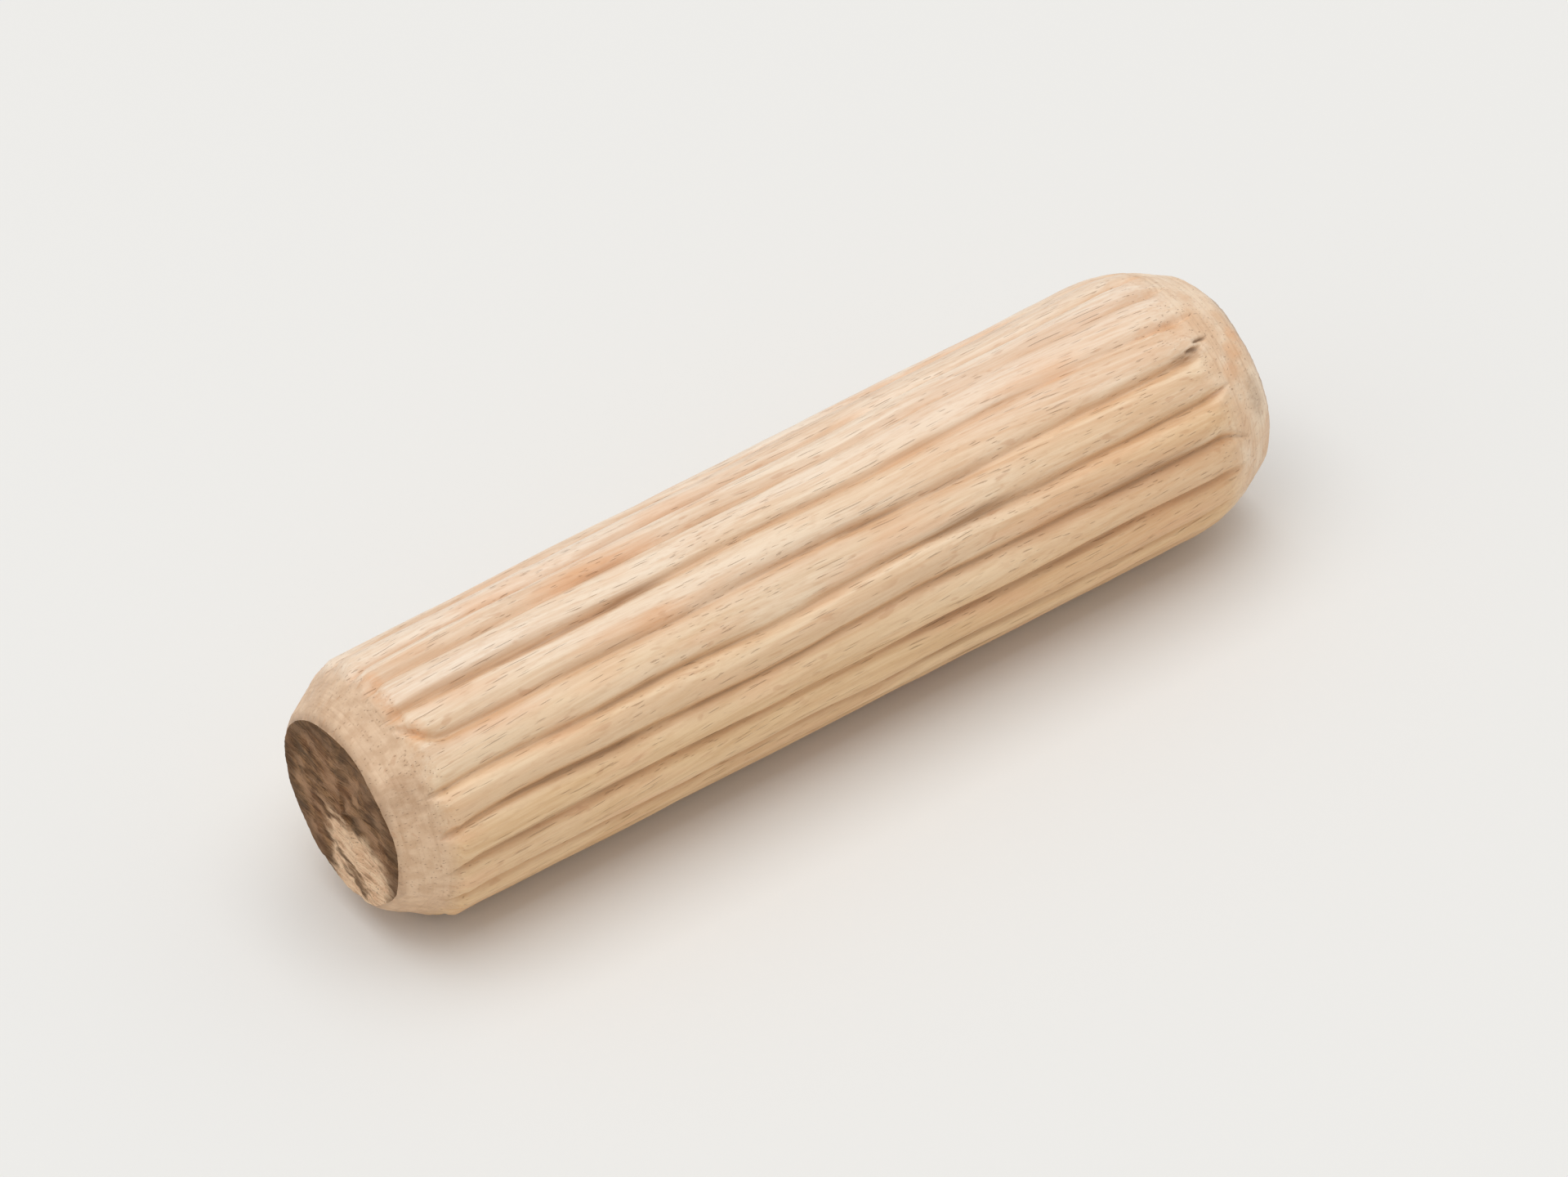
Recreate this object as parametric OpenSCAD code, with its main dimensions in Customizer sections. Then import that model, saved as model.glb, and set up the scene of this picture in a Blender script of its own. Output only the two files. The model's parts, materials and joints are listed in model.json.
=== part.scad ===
// Fluted wooden dowel pin, lying on its side with its axis along X.
// The origin is the middle of the pin, on its axis.

/* [Pin] */
// Diameter over the crests of the ribs
pin_d = 8; // [6.5:0.1:12]
// Length from one sawn end to the other
pin_l = 30; // [20:1:60]

/* [Tapered ends] */
// Diameter of the flat sawn face at each end
face_d = 5.7; // [4:0.1:7]
// Width of the blunt rim round a sawn face, outwards from the axis
rim_w = 0.25; // [0.1:0.05:0.4]
// Length of the blunt rim, along the axis
rim_l = 0.2; // [0.1:0.05:0.5]
// Length of the taper at each end with its blunt rim, along the axis
taper_l = 1.9; // [1:0.1:4]

/* [Flutes] */
// Number of flutes round the pin
flute_count = 20; // [12:1:26]
// Depth of a flute below the crests
flute_depth = 0.3; // [0.2:0.01:0.4]
// Width of a flute at its mouth, from one crest to the next
flute_w = 0.5; // [0.4:0.01:0.65]
// Radius of the round bottom of a flute
flute_bottom_r = 0.08; // [0.04:0.01:0.1]
// Radius of the rounded shoulder between a flute and a crest
shoulder_r = 0.12; // [0.06:0.01:0.12]

/* [Hidden] */

pin_r = pin_d / 2;
face_r = face_d / 2;
rim_r = face_r + rim_w;
flute_pitch = 360 / flute_count;
// How far a cutter or a blank reaches past what it trims
over = 1;
round_fn = 720;
small_fn = 48;

// A flute is drawn about +x. Its section has three parts on each side: the round bottom,
// a straight flank, and a shoulder between the flank and the crest. Each curve runs into the
// next one by the depth of bite, so that they cross instead of just touching.
bite = 0.002;
mouth_angle = asin(flute_w / 2 / pin_r);
mouth_dir = [cos(mouth_angle), sin(mouth_angle)];
bottom_centre = [pin_r - flute_depth + flute_bottom_r, 0];
shoulder_centre = (pin_r - shoulder_r + bite) * mouth_dir;
centre_gap = shoulder_centre - bottom_centre;
flank_angle = atan2(centre_gap.y, centre_gap.x)
    - asin((flute_bottom_r + shoulder_r - 2 * bite) / norm(centre_gap));
flank_normal = [-sin(flank_angle), cos(flank_angle)];
flank_start = bottom_centre + (flute_bottom_r - bite) * flank_normal;
flank_end = shoulder_centre - (shoulder_r - bite) * flank_normal;
cutter_end = (pin_r + over) * mouth_dir;

// The same points on the flute's other side, in the opposite order
function mirrored(points) = [for (i = [len(points) - 1:-1:0]) [points[i].x, -points[i].y]];

// Section of one flute
module flute_section() {
    one_side = [flank_start, flank_end, shoulder_centre, cutter_end];
    difference() {
        polygon(concat(one_side, mirrored(one_side)));
        for (side = [-1, 1])
            translate([shoulder_centre.x, side * shoulder_centre.y])
                circle(r = shoulder_r, $fn = small_fn);
    }
    translate(bottom_centre) circle(r = flute_bottom_r, $fn = small_fn);
}

// Section of the fluted rod, with a flute on +x
module rod_section() {
    difference() {
        circle(r = pin_r, $fn = round_fn);
        for (i = [0:flute_count - 1])
            rotate(i * flute_pitch) flute_section();
    }
}

// Half of the blank's outline: the taper carries on past the crests, so that the rod's own
// crests are left as they are and each flute runs out into the taper
module tapered_outline() {
    blank_r = pin_r + over;
    blank_taper = rim_l + (taper_l - rim_l) * (blank_r - rim_r) / (pin_r - rim_r);
    half_l = pin_l / 2;
    polygon([
        [0, -half_l], [face_r, -half_l], [rim_r, rim_l - half_l], [blank_r, blank_taper - half_l],
        [blank_r, half_l - blank_taper], [rim_r, half_l - rim_l], [face_r, half_l], [0, half_l]
    ]);
}

// The whole pin. Turning it onto X brings the flute on +x to the bottom, so the pin lies on
// the two crests beside that flute.
module dowel_pin() {
    color("burlywood")
    rotate([0, 90, 0])
    intersection() {
        linear_extrude(height = pin_l + 2 * over, center = true) rod_section();
        rotate_extrude($fn = round_fn) tapered_outline();
    }
}

dowel_pin();
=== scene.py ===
"""A fluted beech dowel pin, lying on its side on a plain pale surface."""
import json
import math
import random

import bmesh
import bpy
from mathutils import Matrix, Vector, noise


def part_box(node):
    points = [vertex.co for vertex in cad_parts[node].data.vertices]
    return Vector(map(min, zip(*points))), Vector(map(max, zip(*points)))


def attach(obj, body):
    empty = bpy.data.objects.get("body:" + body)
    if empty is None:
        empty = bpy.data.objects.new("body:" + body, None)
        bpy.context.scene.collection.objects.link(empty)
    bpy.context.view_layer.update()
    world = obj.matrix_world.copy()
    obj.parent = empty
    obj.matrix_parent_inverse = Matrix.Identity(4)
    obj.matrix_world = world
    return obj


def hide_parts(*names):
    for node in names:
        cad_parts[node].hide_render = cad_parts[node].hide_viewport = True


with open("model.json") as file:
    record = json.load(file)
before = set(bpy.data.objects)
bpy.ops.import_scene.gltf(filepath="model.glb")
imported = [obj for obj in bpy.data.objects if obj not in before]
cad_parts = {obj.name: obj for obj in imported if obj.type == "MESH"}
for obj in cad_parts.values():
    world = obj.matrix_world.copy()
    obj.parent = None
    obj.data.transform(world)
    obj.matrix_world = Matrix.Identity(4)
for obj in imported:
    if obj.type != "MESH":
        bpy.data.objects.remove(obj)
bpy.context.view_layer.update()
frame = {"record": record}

MM = 0.001

# Sizes from the frame: the pin lies along X, with its middle at the origin
LOW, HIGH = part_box("dowel_pin")
HALF_LENGTH = HIGH[0]
SHANK = frame["record"]["mounts"][0]["dims"]
CREST_RADIUS = SHANK["r_mm"] * MM
TAPER_LENGTH = HALF_LENGTH - SHANK["length_mm"] * MM / 2

# The turned ends: a sawn face, a blunt rim round it, and a taper up to the ribs. The far end,
# +X, came out longer and rounder than the near one. Each end has the radii of its face and
# its rim, the length of its taper with the rim, the softness of the corners between them, and
# the radius out to which the end grain shows.
RIM_LENGTH = 0.20 * MM
ENDS = {
    -1: {"face": 2.85 * MM, "rim": 3.10 * MM, "taper": TAPER_LENGTH - 0.2 * MM,
         "round": 0.08 * MM, "end_grain": 2.88 * MM},
    1: {"face": 2.60 * MM, "rim": 3.00 * MM, "taper": TAPER_LENGTH + 0.2 * MM,
        "round": 0.50 * MM, "end_grain": 2.53 * MM}}

# Width of the small rounding round a sawn face
SAWN_EDGE = 0.04 * MM

# The flutes. The first is at the bottom, and they count up towards -Y. Most of a flute's
# depth is the roundness of the ribs, and the rest is a narrow groove between them.
FLUTES = 20
FLUTE_PITCH = 2 * math.pi / FLUTES
FLUTE_DEPTH = 0.30 * MM
RIB_ROUND = 0.22 * MM
GROOVE_HALF_WIDTH = 0.24 * MM

# Within a few millimetres of its length, a flute strays sideways and varies in its width and
# depth. The flutes are deepest on one side, and shallower by a share opposite it.
FLUTE_WANDER = 0.08 * MM
WANDER_LENGTH = 4.5 * MM
FLUTE_VARIES = 0.3
DEEPEST_ANGLE = math.radians(125)
SHALLOW_SIDE = 0.15

# Down a taper, a flute keeps its depth till RUN_ON is turned away, and then loses RUN_OUT of
# all that is turned away further. It bends past BEND_START, which is measured from the middle
# of the pin, and has gone aside by its whole bend BEND_LENGTH further on.
RUN_ON = 0.08 * MM
RUN_OUT = 0.95
BEND_START, BEND_LENGTH = 12.5 * MM, 1.1 * MM

# Flutes that lie off their place, and flutes that bend at an end, -1 or 1: how far, in mm
# round the pin, in the direction in which they count
OFFSETS = {3: -0.2, 4: -0.28, 5: -0.1, 6: -0.08, 7: -0.07, 9: 0.08, 10: 0.17}
BENDS = {(8, -1): 0.66, (7, -1): -0.02, (6, -1): -0.1, (5, -1): -0.22, (10, 1): 0.2,
         (8, 1): 0.37, (7, 1): 0.14, (6, 1): -0.46}

# Patches on the side: the place along the axis in mm, the angle from the bottom towards -Y in
# degrees, the half length and half width in mm, and the strength
STAINS = [(-6.0, 186, 2.6, 0.6, 1.0), (-5.4, 149, 1.1, 0.35, 1.0), (-13.3, 152, 0.4, 0.4, 1.0),
          (-13.3, 184, 0.3, 0.5, 0.8), (-13.55, 170, 0.25, 2.2, 0.6), (8.8, 164, 1.2, 0.3, 0.8),
          (12.2, 164, 0.9, 0.3, 0.8), (10.5, 80, 2.6, 0.6, 0.7), (9.0, 108, 5.0, 2.6, 0.35),
          (9.0, 84, 6.5, 1.8, 0.45), (13.8, 132, 0.35, 0.45, 0.9), (14.2, 140, 0.35, 0.45, 0.9),
          (14.6, 148, 0.35, 0.5, 0.9), (3.0, 20, 3.0, 0.9, 0.8), (-8.0, 300, 2.2, 0.7, 0.7),
          (9.0, 250, 2.6, 0.8, 0.7), (8.0, 165, 7.5, 2.4, 0.4)]
SCORCHES_AND_SHADE = [(-5.6, 181, 1.5, 0.25, 0.5), (-5.5, 163, 1.3, 0.22, 0.8), (-8.5, 108, 2.4, 0.22, 0.5),
            (-10.0, 91, 3.2, 0.22, 0.6), (4.5, 127, 2.0, 0.25, 0.8), (9.8, 109, 3.6, 0.25, 0.8),
            (12.7, 146, 0.8, 0.25, 0.7), (-14.4, 129, 0.8, 0.9, 0.4), (14.35, 114, 0.4, 1.0, 0.6),
            # The long patches at 51, 68 and 88.5 degrees are painted shade in the lowest flutes,
            # down to the underside where the pin rests
            (1.5, 51, 14.5, 0.35, 0.5), (5.0, 68, 7.0, 0.25, 0.6), (5.5, 88.5, 5.0, 0.25, 0.6),
            (-2.0, 270, 2.4, 0.25, 0.7), (6.0, 324, 2.0, 0.25, 0.6)]
NICKS = [(13.35, 150.5, 0.32, 0.10, 0.9), (13.0, 147.5, 0.32, 0.08, 0.7),
         (-3.5, 262, 0.6, 0.07, 0.5)]
NICK_DEPTH = 0.16 * MM

# Patches of the same kind where the flutes are less deep, and where a taper is cut flat
SHALLOW_PATCH = (7.0, 186, 9.0, 3.2, 0.5)
FLATS = [(-14.5, 48, 1.3, 1.5, 1.0), (-14.5, 103, 1.2, 1.5, 0.8), (-14.5, 158, 1.2, 1.5, 0.7),
         (14.5, 262, 1.2, 1.4, 0.6)]
FLAT_DEPTH = 0.14 * MM

# Over what depth a taper takes on its own finish, and how far inside its edge a sawn face has
# its full saw marks
TAPER_BLEND = 0.25 * MM
SAWN_BLEND = 0.4 * MM

# How finely the pin is divided: sides round it, parts along it, and rings in a sawn face. Past
# END_ZONE, which takes in the longer taper, each part along it is in END_PARTS smaller ones.
SIDES = 28 * FLUTES
LENGTH_PARTS = 80
END_PARTS = 5
FACE_RINGS = 12
RING_STEP = 2 * HALF_LENGTH / LENGTH_PARTS
END_STEP = RING_STEP / END_PARTS
END_ZONE = HALF_LENGTH - math.ceil(ENDS[1]["taper"] / RING_STEP + 1) * RING_STEP - RING_STEP / 4

# Seed of what differs from flute to flute
SEED = 7


# ------------------------------------------------------------ the turned blank

def smaller(one, other, softness):
    """The smaller of two lengths, blended where they are nearly the same."""
    blend = max(0, 1 - abs(one - other) / softness)
    return min(one, other) - softness * blend ** 2 / 4


def side_of(x):
    """The end that is nearer to the place x along the axis: -1 or 1."""
    return 1 if x > 0 else -1


def blank_radius(x):
    """Radius of the blank, before it is fluted, at the place x along its axis."""
    end = ENDS[side_of(x)]
    from_end = HALF_LENGTH - abs(x)
    rim = end["face"] + (end["rim"] - end["face"]) * from_end / RIM_LENGTH
    slope = (CREST_RADIUS - end["rim"]) / (end["taper"] - RIM_LENGTH)
    taper = end["rim"] + slope * (from_end - RIM_LENGTH)
    return smaller(smaller(rim, taper, end["round"]), CREST_RADIUS, end["round"])


def inside_sawn_edge(point):
    """How far a point of a sawn face lies inside its edge, or None for a point elsewhere."""
    if abs(point.x) < HALF_LENGTH - SAWN_EDGE / 4:
        return None
    return ENDS[side_of(point.x)]["face"] - point.yz.length


def on_sawn_edge(point):
    """Whether a point of the blank lies on the edge round a sawn face."""
    inside = inside_sawn_edge(point)
    return inside is not None and inside < SAWN_EDGE


def select(piece, mode, wanted):
    """Selects only the vertices, edges or faces for which wanted() is true."""
    bpy.ops.mesh.select_mode(type=mode)
    bpy.ops.mesh.select_all(action="DESELECT")
    shape = bmesh.from_edit_mesh(piece.data)
    for part in {"VERT": shape.verts, "EDGE": shape.edges, "FACE": shape.faces}[mode]:
        part.select = wanted(part)
    bmesh.update_edit_mesh(piece.data)


def rod_in_rings():
    """A plain rod along X, in rings that stand closer together at its ends."""
    bpy.ops.object.select_all(action="DESELECT")
    bpy.ops.mesh.primitive_cylinder_add(
        vertices=SIDES, radius=CREST_RADIUS, depth=2 * HALF_LENGTH,
        end_fill_type="NGON", rotation=(0, math.pi / 2, 0))
    pin = bpy.context.object
    pin.name = "pin_wood"
    bpy.ops.object.transform_apply(location=False, rotation=True, scale=False)

    bpy.ops.object.mode_set(mode="EDIT")
    select(pin, "EDGE", lambda edge: edge.calc_length() > HALF_LENGTH)
    bpy.ops.mesh.subdivide(number_cuts=LENGTH_PARTS - 1)
    select(pin, "EDGE", lambda edge: edge.calc_length() > RING_STEP / 2 and all(
        abs(vert.co.x) > END_ZONE for vert in edge.verts))
    bpy.ops.mesh.subdivide(number_cuts=END_PARTS - 1)
    return pin


def turn_tapers(pin):
    """Brings each ring near an end to the radius of the blank there."""
    for side in ENDS:
        for ring in range(int((HALF_LENGTH - END_ZONE) / END_STEP) + 1):
            x = side * (HALF_LENGTH - ring * END_STEP)
            scale = blank_radius(x) / CREST_RADIUS
            select(pin, "VERT", lambda vert: abs(vert.co.x - x) < END_STEP / 4)
            bpy.ops.transform.resize(value=(1, scale, scale), center_override=(x, 0, 0))


def divide_sawn_faces(pin):
    """Divides the sawn faces into rings round a middle, and rounds their edges a little."""
    for side, end in ENDS.items():
        select(pin, "FACE", lambda face: (
            len(face.verts) > 4 and face.calc_center_median().x * side > 0))
        for _ in range(FACE_RINGS):
            bpy.ops.mesh.inset(thickness=end["face"] / (FACE_RINGS + 1), depth=0)
        bpy.ops.mesh.poke()
    select(pin, "EDGE", lambda edge: all(on_sawn_edge(vert.co) for vert in edge.verts))
    bpy.ops.mesh.bevel(offset=SAWN_EDGE, segments=2)


def turned_blank():
    """The whole pin before it is fluted: a rod with two tapers and two sawn faces."""
    pin = rod_in_rings()
    turn_tapers(pin)
    divide_sawn_faces(pin)
    bpy.ops.object.mode_set(mode="OBJECT")
    bpy.ops.object.shade_smooth()
    return pin


# ------------------------------------------------------------ flutes and relief

def flute_facts():
    """What differs from one flute to the next: its place, depth, width, wander and bends."""
    dice = random.Random(SEED)
    facts = []
    for flute in range(FLUTES):
        off_deepest = flute * FLUTE_PITCH - DEEPEST_ANGLE
        even = 1 - SHALLOW_SIDE * (1 - math.cos(off_deepest)) / 2
        facts.append({
            "depth": even * dice.uniform(0.88, 1.08),
            "width": dice.uniform(0.85, 1.15),
            "stray": dice.uniform(0, 100),
            "run_on": dice.uniform(0.3, 1.7) * RUN_ON,
            "offset": OFFSETS.get(flute, dice.uniform(-0.06, 0.06)) * MM,
            "bend": {side: BENDS.get((flute, side), dice.uniform(-0.2, 0.2)) * MM
                     for side in ENDS},
        })
    return facts


FLUTE_FACTS = flute_facts()


def section(across, half_width):
    """How deep a flute is beside its middle, as a share of its full depth.

    A rib is round all the way across, and the ribs meet in narrow grooves."""
    to_crest = min(1, across / (FLUTE_PITCH * CREST_RADIUS / 2))
    cut = RIB_ROUND / FLUTE_DEPTH * (1 - to_crest) ** 2
    if across < half_width:
        in_groove = 0.5 + 0.5 * math.cos(math.pi * across / half_width)
        cut += (1 - RIB_ROUND / FLUTE_DEPTH) * in_groove
    return cut


def one_flute(point, angle, flute):
    """How deep one flute cuts at a point of the blank, as a share of the full depth."""
    facts = FLUTE_FACTS[flute % FLUTES]
    along = point.x / WANDER_LENGTH
    middle = facts["offset"] + noise.noise(Vector((along, facts["stray"], 0))) * 2 * FLUTE_WANDER
    past = max(0, abs(point.x) - BEND_START) / BEND_LENGTH
    middle += facts["bend"][side_of(point.x)] * past ** 2
    across = abs((angle - flute * FLUTE_PITCH) * CREST_RADIUS - middle)
    half_width = GROOVE_HALF_WIDTH * facts["width"]
    half_width *= 1 + FLUTE_VARIES * noise.noise(Vector((along, 0, facts["stray"])))
    depth = facts["depth"] * (1 + FLUTE_VARIES * noise.noise(Vector((0, along, facts["stray"]))))
    turned_away = max(0, CREST_RADIUS - blank_radius(point.x) - facts["run_on"]) / FLUTE_DEPTH
    return max(0, section(across, half_width) * depth - RUN_OUT * turned_away)


def spot(point, patch):
    """How much a point belongs to a soft oval patch: most in its middle, 0 outside it."""
    along, angle, length, width, strength = patch
    off_angle = math.atan2(-point.y, -point.z) - math.radians(angle)
    off_angle = (off_angle + math.pi) % (2 * math.pi) - math.pi
    reach = math.hypot((point.x / MM - along) / length, off_angle * CREST_RADIUS / MM / width)
    return max(0, 1 - reach ** 2) * strength


def flute_cut(point):
    """How deep the flutes cut at a point of the blank: the deeper of the two nearest."""
    angle = math.atan2(-point.y, -point.z) % (2 * math.pi)
    first = math.floor(angle / FLUTE_PITCH)
    cut = max(one_flute(point, angle, first), one_flute(point, angle, first + 1))
    return cut * (1 - spot(point, SHALLOW_PATCH))


def taper_share(x):
    """How far the place x along the axis is down a taper: 0 on the ribs, 1 well below them."""
    return min(1, max(0, CREST_RADIUS - blank_radius(x) - RUN_ON) / TAPER_BLEND)


def mark(pin, name, amounts):
    """Keeps one number per vertex, as a vertex group for modifiers and a shade for materials."""
    group = pin.vertex_groups.new(name=name)
    for index, amount in enumerate(amounts):
        if amount > 0:
            group.add([index], amount, "REPLACE")
    shade = pin.data.attributes.new(name + " shade", "FLOAT", "POINT")
    shade.data.foreach_set("value", amounts)


def mark_regions(pin):
    """Marks the flutes, the tapers, the sawn faces, and the few patches on them."""
    places = [vertex.co.copy() for vertex in pin.data.vertices]
    inside = [max(0, inside_sawn_edge(place) or 0) for place in places]
    mark(pin, "flute", [0.0 if depth else flute_cut(p) for depth, p in zip(inside, places)])
    mark(pin, "taper", [0.0 if depth else taper_share(p.x) for depth, p in zip(inside, places)])
    mark(pin, "sawn", [min(1, depth / SAWN_BLEND) for depth in inside])
    for name, patches in (
            ("stain", STAINS), ("scorch_and_shade", SCORCHES_AND_SHADE), ("nick", NICKS), ("flat", FLATS)):
        mark(pin, name, [max(spot(p, patch) for patch in patches) for p in places])


def relieve(pin, name, strength, group="", grain=None):
    """Pushes the surface where its group is marked: evenly, or by a soft noise whose grains
    have the given sizes along X, Y and Z, in mm."""
    push = pin.modifiers.new(name, "DISPLACE")
    push.strength = strength
    push.mid_level = 0.5 if grain else 0
    push.vertex_group = group
    if grain:
        push.texture = bpy.data.textures.new(name, "CLOUDS")
        push.texture.noise_scale = 1
        push.texture.noise_depth = 2
        bpy.ops.object.empty_add()
        ruler = bpy.context.object
        ruler.scale = [size * MM for size in grain]
        bpy.context.view_layer.update()
        push.texture_coords = "OBJECT"
        push.texture_coords_object = ruler
    bpy.context.view_layer.objects.active = pin
    bpy.ops.object.modifier_apply(modifier=push.name)
    if grain:
        bpy.data.objects.remove(ruler)


def carve(pin):
    """Cuts the flutes, roughens the wood, the tapers and the sawn faces, and adds the flats."""
    relieve(pin, "flutes", -FLUTE_DEPTH, "flute")
    relieve(pin, "wobble", 0.08 * MM, grain=(3.5, 1.0, 1.0))
    relieve(pin, "fibres", 0.03 * MM, grain=(1.4, 0.14, 0.14))
    relieve(pin, "torn_flutes", 0.05 * MM, "flute", (0.9, 0.1, 0.1))
    relieve(pin, "uneven_taper", 0.06 * MM, "taper", (0.6, 1.2, 1.2))
    relieve(pin, "cut_fibres", 0.025 * MM, "taper", (0.5, 0.12, 0.12))
    relieve(pin, "saw_marks", 0.12 * MM, "sawn", (1, 1.0, 0.25))
    relieve(pin, "nicks", -NICK_DEPTH, "nick")
    relieve(pin, "flats", -FLAT_DEPTH, "flat")


# ------------------------------------------------------------ materials

def linear(red, green, blue):
    """A colour given as it looks on a screen, 0 to 255, as the shader wants it."""
    def one(value):
        value /= 255
        return value / 12.92 if value <= 0.04045 else ((value + 0.055) / 1.055) ** 2.4
    return (one(red), one(green), one(blue), 1)


# Kinds of wood in the pin, each in a darker and a lighter shade. The first two are one wood,
# warm in a painted shade and pale in a painted sheen, mixed by the side of the pin
WOOD_IN_PAINTED_SHADE = linear(225, 184, 135), linear(241, 206, 160)
WOOD_IN_PAINTED_SHEEN = linear(239, 211, 185), linear(252, 236, 217)
NEAR_TAPER = linear(214, 177, 142), linear(232, 198, 164)
FAR_TAPER = linear(236, 199, 163), linear(254, 233, 206)
SAWN_WOOD = linear(90, 61, 35), linear(164, 123, 85)
TORN_WOOD = linear(233, 190, 152), linear(255, 221, 184)

# What shows in the side grain
BLUSH = linear(240, 191, 150)
FLECK = linear(206, 162, 122)
GROWTH_BAND = linear(208, 162, 120)
# Painted shade down the flanks of the flutes and in their bottoms
PAINTED_FLANK_SHADE = linear(206, 158, 112)
PAINTED_GROOVE_SHADE = linear(146, 102, 64)
TOOL_RING = linear(190, 150, 114)
STAIN = linear(232, 172, 122)
SCORCH_AND_SHADE = linear(140, 96, 58)
BROWN_RIM = linear(150, 112, 80)
RAY = linear(196, 140, 98)
VESSEL = linear(152, 106, 68)
NICK = linear(118, 86, 58)

# What shows in the end grain
RED_BROWN = linear(134, 90, 58)
GREY_BROWN = linear(108, 90, 70)
LIGHT_BROWN = linear(184, 144, 110)
DARK_EDGE = linear(94, 69, 45)
END_BAND = linear(88, 60, 38)
END_VESSEL = linear(66, 46, 32)

# The fibres of the wood: how far they bend, how they lie to the pin, where the pith of the
# tree lies beside them, and how wide the growth bands are
FIBRE_BEND = (0, 1.2 * MM, 1.2 * MM)
FIBRE_TURN = (0.5, math.radians(1.5), math.radians(2.5))
PITH = (0, -9 * MM, -5 * MM)
GROWTH_WIDTH = 1.5 * MM

# The direction out of the side with the most painted sheen; the painted shade lies opposite
PAINTED_SHEEN_SIDE = (0, 0.64, 0.77)

# A dark wedge in the torn part of a sawn face: its middle and its half sizes in mm, the same
# for any X, and its turn
WEDGE_MIDDLE = (0, -0.38, -2.05)
WEDGE_SIZE = (1e6, 0.9, 0.32)
WEDGE_TURN = (math.radians(30), 0, 0)


class Bench:
    """Adds nodes to one node tree, and links what is given as an input."""

    def __init__(self, tree):
        self.tree = tree

    def add(self, kind, inputs=None, **settings):
        node = self.tree.nodes.new(kind)
        for name, value in settings.items():
            setattr(node, name, value)
        for name, value in (inputs or {}).items():
            socket = node.inputs[name]
            if isinstance(value, bpy.types.NodeSocket):
                self.tree.links.new(value, socket)
            else:
                socket.default_value = value
        return node

    def calc(self, operation, a, b=0.0):
        return self.add("ShaderNodeMath", {0: a, 1: b}, operation=operation).outputs[0]

    def plus(self, a, b):
        return self.calc("ADD", a, b)

    def times(self, a, b):
        return self.calc("MULTIPLY", a, b)

    def vector(self, operation, a, b=(0, 0, 0)):
        """Arithmetic with vectors. A length and a dot product come out as one number."""
        node = self.add("ShaderNodeVectorMath", {0: a, 1: b}, operation=operation)
        return node.outputs["Value" if operation in ("LENGTH", "DOT_PRODUCT") else "Vector"]

    def band(self, value, low, high, new_low=0.0, new_high=1.0):
        """Spreads value from low..high over new_low..new_high, and stops there."""
        node = self.add("ShaderNodeMapRange", {
            "Value": value, "From Min": low, "From Max": high,
            "To Min": new_low, "To Max": new_high}, interpolation_type="SMOOTHSTEP")
        return node.outputs["Result"]

    def mix(self, amount, a, b):
        node = self.add("ShaderNodeMix", {0: amount, 6: a, 7: b}, data_type="RGBA")
        return node.outputs[2]

    def stretched(self, place, size):
        """The place measured in grains of the given size along X, Y and Z, in mm."""
        node = self.add("ShaderNodeMapping", {
            "Vector": place, "Scale": tuple(1 / (s * MM) for s in size)}, vector_type="POINT")
        return node.outputs["Vector"]

    def noise(self, place, size, detail=2, roughness=0.5):
        """A soft noise with grains of the given size."""
        node = self.add("ShaderNodeTexNoise", {
            "Vector": self.stretched(place, size), "Scale": 1.0,
            "Detail": detail, "Roughness": roughness})
        return node.outputs["Fac"]


def fibre_group():
    """Wood along X: fine fibres, growth bands round a far pith, open vessels and small rays."""
    group = bpy.data.node_groups.new("beech fibres", "ShaderNodeTree")
    group.interface.new_socket("Place", in_out="INPUT", socket_type="NodeSocketVector")
    for label in ("Streaks", "Bands", "Vessels", "Rays"):
        group.interface.new_socket(label, in_out="OUTPUT", socket_type="NodeSocketFloat")
    bench = Bench(group)
    place = bench.add("NodeGroupInput").outputs["Place"]

    bend = bench.add("ShaderNodeTexNoise", {
        "Vector": bench.stretched(place, (11, 5, 5)), "Scale": 1.0, "Detail": 1.0})
    bend = bench.vector("SUBTRACT", bend.outputs["Color"], (0.5, 0.5, 0.5))
    place = bench.vector("ADD", place, bench.vector("MULTIPLY", bend, FIBRE_BEND))
    place = bench.add("ShaderNodeMapping", {
        "Vector": place, "Rotation": FIBRE_TURN}, vector_type="POINT").outputs["Vector"]

    hair = bench.noise(place, (1.6, 0.05, 0.05))
    fine = bench.noise(place, (3.5, 0.14, 0.14), detail=3)
    broad = bench.noise(place, (8, 0.5, 0.5))
    streaks = bench.plus(bench.times(hair, 0.25), bench.times(fine, 0.4))
    streaks = bench.plus(streaks, bench.times(broad, 0.35))

    from_pith = bench.vector("MULTIPLY", bench.vector("SUBTRACT", place, PITH), (0, 1, 1))
    radius = bench.vector("LENGTH", from_pith)
    phase = bench.plus(bench.calc("DIVIDE", radius, GROWTH_WIDTH), bench.times(broad, 0.5))
    phase = bench.calc("FRACT", phase)
    bands = bench.times(bench.band(phase, 0.55, 0.95), bench.band(phase, 1.0, 0.95))

    dashes = bench.noise(place, (1.3, 0.045, 0.045), detail=1)
    specks = bench.noise(place, (0.8, 0.1, 0.35), detail=1)
    bench.add("NodeGroupOutput", {
        "Streaks": streaks, "Bands": bands,
        "Vessels": bench.band(dashes, 0.66, 0.76), "Rays": bench.band(specks, 0.66, 0.74)})
    return group


FIBRES = fibre_group()


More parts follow.
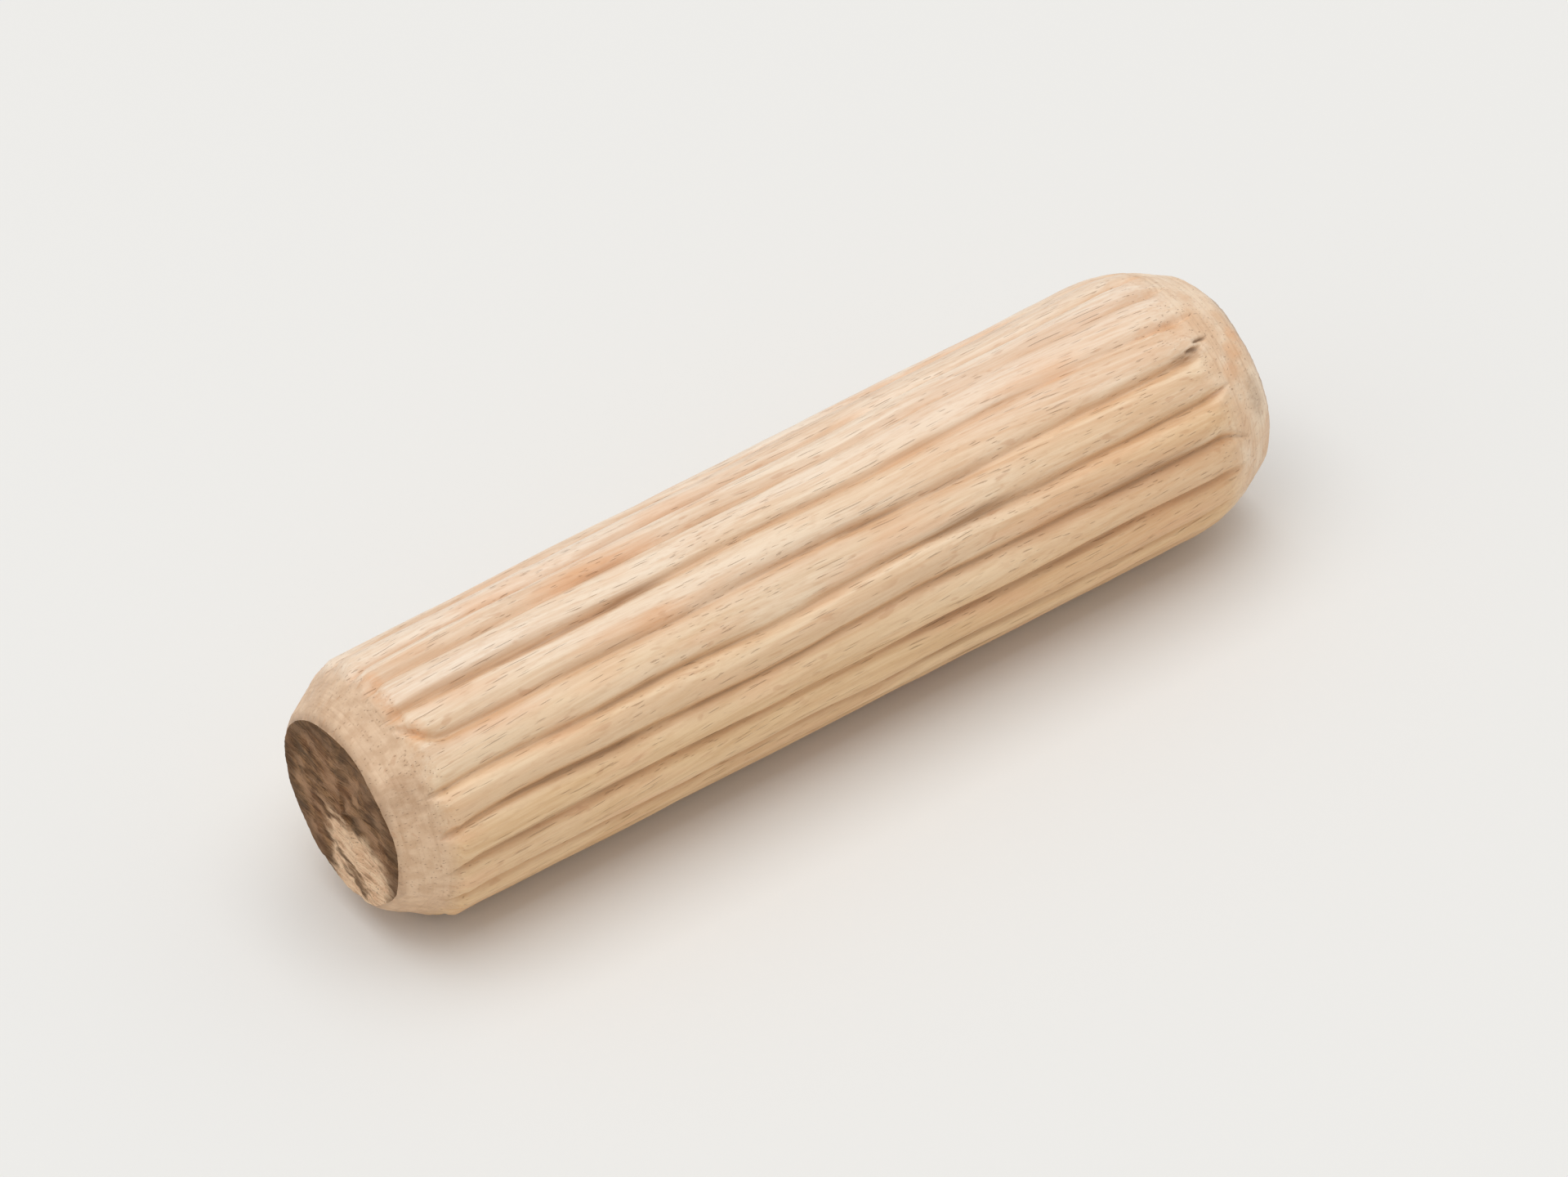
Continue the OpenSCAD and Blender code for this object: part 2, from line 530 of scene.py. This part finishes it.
def new_material(name):
    """A fresh material with its bench, the place on the object and the fibres there."""
    material = bpy.data.materials.new(name)
    material.use_nodes = True
    material.node_tree.nodes.clear()
    bench = Bench(material.node_tree)
    place = bench.add("ShaderNodeTexCoord").outputs["Object"]
    fibres = bench.add("ShaderNodeGroup", {"Place": place}, node_tree=FIBRES).outputs
    return material, bench, place, fibres


def finish_material(bench, colour, roughness, height, bump_depth, specular):
    """Ends a material in one shader, with the height as fine relief on it."""
    bump = bench.add("ShaderNodeBump", {
        "Height": height, "Strength": 1.0, "Distance": bump_depth})
    surface = bench.add("ShaderNodeBsdfPrincipled", {
        "Base Color": colour, "Roughness": roughness, "Specular IOR Level": specular,
        "Normal": bump.outputs["Normal"]})
    bench.add("ShaderNodeOutputMaterial", {"Surface": surface.outputs["BSDF"]})


def rib_wood(bench, place, fibres):
    """Streaky wood with painted light: a pale painted sheen on one side of the pin, towards the
    top, and a warmer painted shade round the other, with a blush, small flecks and growth bands."""
    streaks = bench.band(fibres["Streaks"], 0.36, 0.62)
    crest = CREST_RADIUS / MM
    # Painted sheen and shade: paler towards the top and +Y, warmer towards the bottom and -Y,
    # moved a little by a soft noise
    pale = bench.vector("DOT_PRODUCT", bench.stretched(place, (crest, crest, crest)), PAINTED_SHEEN_SIDE)
    drift = bench.noise(place, (12, 1.5, 1.5))
    pale = bench.plus(pale, bench.band(drift, 0.3, 0.7, -0.25, 0.25))
    colour = bench.mix(bench.band(pale, -1.0, 1.5), bench.mix(streaks, *WOOD_IN_PAINTED_SHADE),
                       bench.mix(streaks, *WOOD_IN_PAINTED_SHEEN))

    blush = bench.noise(place, (4, 0.9, 0.9))
    colour = bench.mix(bench.band(blush, 0.5, 0.72, 0, 0.5), colour, BLUSH)
    flecks = bench.noise(place, (0.45, 0.11, 0.11))
    colour = bench.mix(bench.band(flecks, 0.5, 0.75, 0, 0.22), colour, FLECK)
    return bench.mix(bench.times(fibres["Bands"], 0.3), colour, GROWTH_BAND)


def flute_wood_with_shade(bench, place, colour, flute):
    """The given wood with painted shade in the flutes: browner down their flanks and dark at
    their bottoms.
    """
    uneven = bench.noise(place, (2.2, 0.8, 0.8))
    in_flute = bench.plus(flute, bench.band(uneven, 0.3, 0.7, -0.15, 0.15))
    colour = bench.mix(bench.band(in_flute, 0.15, 0.85, 0, 0.5), colour, PAINTED_FLANK_SHADE)
    return bench.mix(bench.band(in_flute, 0.8, 1.15, 0, 0.45), colour, PAINTED_GROOVE_SHADE)


def taper_wood(bench, place, along, mottle, rings):
    """Mottled wood with faint rings of the turning tool, paler at the far end."""
    near = bench.mix(bench.band(mottle, 0.35, 0.65), *NEAR_TAPER)
    patches = bench.noise(place, (0.7, 1.1, 1.1), detail=3)
    far = bench.mix(bench.band(patches, 0.35, 0.65), *FAR_TAPER)
    colour = bench.mix(bench.band(along, -10, 10, 0, 0.8), near, far)
    return bench.mix(bench.band(rings, 0.45, 0.75, 0, 0.4), colour, TOOL_RING)


def side_grain():
    """Beech along the fibres: ribs, flutes and tapers, with what marks them."""
    material, bench, place, fibres = new_material("beech side grain")
    flute, taper, stain, scorch_and_shade, nick = (
        bench.add("ShaderNodeAttribute", attribute_name=name + " shade").outputs["Fac"]
        for name in ("flute", "taper", "stain", "scorch_and_shade", "nick"))
    across = bench.stretched(place, (1, 1, 1))
    along = bench.add("ShaderNodeSeparateXYZ", {"Vector": across}).outputs["X"]
    mottle = bench.noise(place, (0.5, 0.35, 0.35), detail=3)
    rings = bench.noise(place, (0.09, 2.0, 2.0))

    colour = flute_wood_with_shade(bench, place, rib_wood(bench, place, fibres), flute)
    turned = taper_wood(bench, place, along, mottle, rings)
    colour = bench.mix(bench.times(taper, 0.85), colour, turned)

    torn = bench.band(fibres["Streaks"], 0.3, 0.6, 1.0, 0.5)
    colour = bench.mix(bench.times(bench.times(stain, torn), 0.8), colour, STAIN)
    # Scorch marks, and painted shade in the lowest flutes and along the underside
    colour = bench.mix(bench.times(bench.times(scorch_and_shade, torn), 0.9), colour, SCORCH_AND_SHADE)
    end = HALF_LENGTH / MM
    rim = bench.band(bench.calc("ABSOLUTE", along), end - 0.28, end - 0.02, 0, 0.6)
    colour = bench.mix(bench.times(rim, bench.band(mottle, 0.3, 0.6)), colour, BROWN_RIM)
    colour = bench.mix(bench.times(fibres["Rays"], 0.28), colour, RAY)
    colour = bench.mix(bench.times(fibres["Vessels"], 0.36), colour, VESSEL)
    colour = bench.mix(bench.band(nick, 0.1, 0.7, 0, 0.65), colour, NICK)

    height = bench.calc("SUBTRACT", fibres["Streaks"], bench.times(fibres["Vessels"], 0.5))
    height = bench.calc("SUBTRACT", height, bench.times(bench.times(taper, rings), 0.5))
    finish_material(bench, colour, 0.48, height, 0.03 * MM, 0.5)
    return material


def sawn_wood(bench, place, fibres, across, fray, mottle):
    """Scorched brown end grain in uneven patches, darker towards its ragged edge."""
    colour = bench.mix(bench.band(mottle, 0.32, 0.68), *SAWN_WOOD)
    tone = bench.noise(place, (2, 0.9, 0.9), detail=1)
    colour = bench.mix(bench.band(tone, 0.5, 0.7, 0, 0.55), colour, RED_BROWN)
    colour = bench.mix(bench.band(tone, 0.5, 0.3, 0, 0.5), colour, GREY_BROWN)
    colour = bench.mix(bench.times(fibres["Bands"], 0.4), colour, END_BAND)
    lighter = bench.noise(place, (3, 1.2, 0.5), detail=4)
    colour = bench.mix(bench.band(lighter, 0.46, 0.66, 0, 0.75), colour, LIGHT_BROWN)
    from_axis = bench.vector("LENGTH", bench.vector("MULTIPLY", across, (0, 1, 1)))
    near_edge = bench.band(bench.plus(from_axis, fray), 2.0, 2.7, 0, 0.55)
    return bench.mix(near_edge, colour, DARK_EDGE)


def torn_part(bench, across, fray, mottle):
    """Where a sawn face is torn: below its middle, save a dark wedge, and less at the far end."""
    sides = bench.add("ShaderNodeSeparateXYZ", {"Vector": across}).outputs
    y, z = bench.plus(sides["Y"], fray), bench.plus(sides["Z"], fray)
    torn = bench.times(bench.band(y, 0.95, 0.35), bench.band(y, -2.4, -1.7))
    torn = bench.times(torn, bench.band(z, -0.1, -0.7))
    wedge = bench.add("ShaderNodeMapping", {
        "Vector": across, "Location": WEDGE_MIDDLE, "Rotation": WEDGE_TURN,
        "Scale": WEDGE_SIZE}, vector_type="TEXTURE").outputs["Vector"]
    from_wedge = bench.plus(bench.vector("LENGTH", wedge), bench.times(fray, 2.2))
    torn = bench.times(torn, bench.band(from_wedge, 0.6, 1.1, 0.12, 1))
    torn = bench.times(torn, bench.band(mottle, 0.25, 0.4, 0.5, 1))
    return bench.times(torn, bench.band(sides["X"], 5, -5, 0.3, 0.95))


def end_grain():
    """The sawn faces: brown end grain with scratches of the saw, and a paler torn part."""
    material, bench, place, fibres = new_material("beech end grain")
    across = bench.stretched(place, (1, 1, 1))
    fray = bench.noise(place, (1, 0.9, 0.35), detail=3)
    fray = bench.band(fray, 0.3, 0.7, -0.22, 0.22)
    mottle = bench.noise(place, (1, 0.6, 0.2), detail=4, roughness=0.6)
    scratches = bench.noise(place, (1, 2.0, 0.05))
    mottle = bench.plus(mottle, bench.band(scratches, 0.3, 0.7, -0.12, 0.12))

    colour = sawn_wood(bench, place, fibres, across, fray, mottle)
    torn_wood = bench.mix(bench.band(mottle, 0.35, 0.65), *TORN_WOOD)
    colour = bench.mix(torn_part(bench, across, fray, mottle), colour, torn_wood)
    colour = bench.mix(bench.times(fibres["Vessels"], 0.6), colour, END_VESSEL)
    height = bench.calc("SUBTRACT", mottle, bench.times(fibres["Vessels"], 0.4))
    finish_material(bench, colour, 0.8, height, 0.08 * MM, 0.2)
    return material


def paint_pin(pin):
    """Side grain all over, and end grain on the two sawn faces and just over their edges."""
    pin.data.materials.append(side_grain())
    pin.data.materials.append(end_grain())
    for face in pin.data.polygons:
        middle = face.center
        grain_radius = ENDS[side_of(middle.x)]["end_grain"]
        if abs(middle.x) > HALF_LENGTH - SAWN_EDGE and middle.yz.length < grain_radius:
            face.material_index = 1


# ------------------------------------------------------------ surface, light and camera

FLOOR_SIZE = 3.0
BOARD_WHITE = linear(238, 237, 234)
ROOM_LIGHT = 0.55
LAMP_PLACE = Vector((-0.03, 0.0, 0.85))
LAMP_SIZE = 0.9
LAMP_POWER = 4.4
VIEW_ELEVATION = math.radians(41.5)
VIEW_AZIMUTH = math.radians(-30)
VIEW_ROLL = math.radians(-6)
VIEW_DISTANCE = 0.482
SENSOR_WIDTH = 36
LENS = 391
NEAREST_SEEN, FARTHEST_SEEN = 0.01, 20


def pale_surface():
    """The matt board that the pin lies on."""
    bpy.ops.mesh.primitive_plane_add(size=FLOOR_SIZE, location=(0, 0, LOW[2]))
    floor = bpy.context.object
    floor.name = "surface"
    material = bpy.data.materials.new("matt white board")
    material.use_nodes = True
    board = material.node_tree.nodes["Principled BSDF"]
    board.inputs["Base Color"].default_value = BOARD_WHITE
    board.inputs["Roughness"].default_value = 0.9
    board.inputs["Specular IOR Level"].default_value = 0.1
    floor.data.materials.append(material)


def room_light():
    """Even white light from all round."""
    world = bpy.data.worlds.new("pale room")
    world.use_nodes = True
    world.node_tree.nodes["Background"].inputs["Color"].default_value = (1, 1, 1, 1)
    world.node_tree.nodes["Background"].inputs["Strength"].default_value = ROOM_LIGHT
    bpy.context.scene.world = world


def soft_lamp():
    """One large square lamp overhead, which faces the pin."""
    lamp = bpy.data.lights.new("lamp", "AREA")
    lamp.size = LAMP_SIZE
    lamp.energy = LAMP_POWER
    holder = bpy.data.objects.new("lamp", lamp)
    holder.location = LAMP_PLACE
    holder.rotation_euler = LAMP_PLACE.to_track_quat("Z", "Y").to_euler()
    bpy.context.collection.objects.link(holder)


def camera():
    """A long lens that looks down on the near end of the pin."""
    seen = bpy.data.cameras.new("camera")
    seen.sensor_width = SENSOR_WIDTH
    seen.lens = LENS
    seen.clip_start = NEAREST_SEEN
    seen.clip_end = FARTHEST_SEEN
    holder = bpy.data.objects.new("camera", seen)
    turn = Matrix.Rotation(VIEW_AZIMUTH, 4, "Z")
    turn = turn @ Matrix.Rotation(math.pi / 2 - VIEW_ELEVATION, 4, "X")
    turn = turn @ Matrix.Rotation(VIEW_ROLL, 4, "Z")
    holder.matrix_world = turn @ Matrix.Translation((0, 0, VIEW_DISTANCE))
    bpy.context.collection.objects.link(holder)
    bpy.context.scene.camera = holder


# ------------------------------------------------------------ the scene

wood = turned_blank()
mark_regions(wood)
paint_pin(wood)
carve(wood)
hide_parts("dowel_pin")
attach(wood, "root")

pale_surface()
room_light()
soft_lamp()
camera()
bpy.context.scene.view_settings.view_transform = "Standard"
